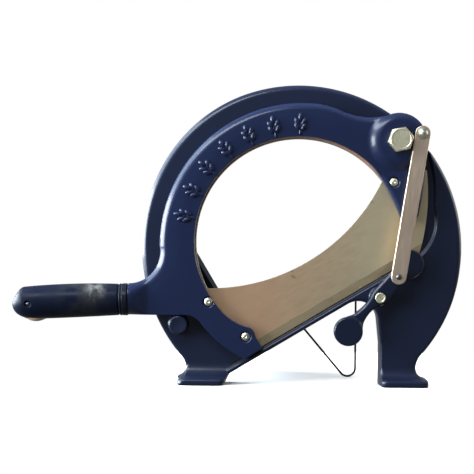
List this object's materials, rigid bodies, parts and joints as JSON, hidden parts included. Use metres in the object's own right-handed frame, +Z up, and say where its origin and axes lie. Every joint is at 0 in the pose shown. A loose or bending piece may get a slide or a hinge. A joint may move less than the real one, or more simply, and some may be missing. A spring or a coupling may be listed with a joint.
{
  "type": "lever bread slicer",
  "caption": "Lever bread slicer: ring-shaped cast frame on feet, swinging ring arm with a crescent blade and side grip, linked slice stop, folded cradle and wire stand.",
  "frame": {"origin": "centre of the bounding box footprint, at the level of the table under the feet", "axes": "+X from the grip towards the pivot side, +Y from the blade side back towards the bread cradle, +Z up"},
  "size_m": [0.4275, 0.1516, 0.287],
  "materials": {
    "frame_enamel": "deep navy gloss enamel on cast iron",
    "arm_enamel": "deep navy gloss enamel on cast iron",
    "cradle_enamel": "dark navy enamel on sheet steel",
    "ferrule_enamel": "blackened gloss enamel",
    "painted_wood": "black-navy gloss paint on turned wood, worn underneath",
    "blade_steel": "ground carbon steel, warm grey with a brushed bevel",
    "link_steel": "drawn flat bar, warm satin grey",
    "bright_steel": "zinc-bright satin",
    "dark_steel": "dark polished",
    "black_wire": "black lacquered spring wire"
  },
  "bodies": {
    "frame": {"frame": "frame_enamel", "pivot_bolt": "bright_steel", "pivot_thrust_washer": "bright_steel", "pivot_spring_washer": "bright_steel", "pivot_nut": "bright_steel", "stop_lever_rivet": "bright_steel", "stop_lever_washer": "bright_steel", "blade_keeper": "frame_enamel", "blade_keeper_screw": "bright_steel", "bread_cradle": "cradle_enamel", "cradle_screws": "bright_steel", "wire_stand_eyes": "cradle_enamel"},
    "arm": {"arm": "arm_enamel", "blade": "blade_steel", "blade_screws": "bright_steel", "grip": "painted_wood", "grip_ferrule": "ferrule_enamel", "grip_pin": "bright_steel", "link_top_pin": "bright_steel"},
    "link": {"link_bar": "link_steel", "link_bottom_pin": "dark_steel"},
    "stop_lever": {"stop_lever": "arm_enamel"},
    "wire_stand": {"wire_stand": "black_wire"}
  },
  "joints": [
    {"name": "arm_pivot", "type": "hinge", "parent": "frame", "child": "arm", "pos_m": [0.1509, -0.05155, 0.2338], "axis": [0, 1, 0], "range_deg": [0, 50]},
    {"name": "link_pivot", "type": "hinge", "parent": "arm", "child": "link", "pos_m": [0.1718, -0.06705, 0.24], "axis": [0, 1, 0], "range_deg": [-56, 1]},
    {"name": "stop_lever_pivot", "type": "hinge", "parent": "frame", "child": "stop_lever", "pos_m": [0.1339, -0.05875, 0.085], "axis": [0, 1, 0], "range_deg": [-1, 52]},
    {"name": "wire_stand_hinge", "type": "hinge", "parent": "frame", "child": "wire_stand", "pos_m": [0.08922, 0.01075, 0.07694], "axis": [0.8572, 0, 0.515], "range_deg": [0, 80]}
  ],
  "couplings": [
    {"joint": "link_pivot", "follows": "arm_pivot", "ratio": -1.105},
    {"joint": "stop_lever_pivot", "follows": "arm_pivot", "ratio": 1.03}
  ]
}
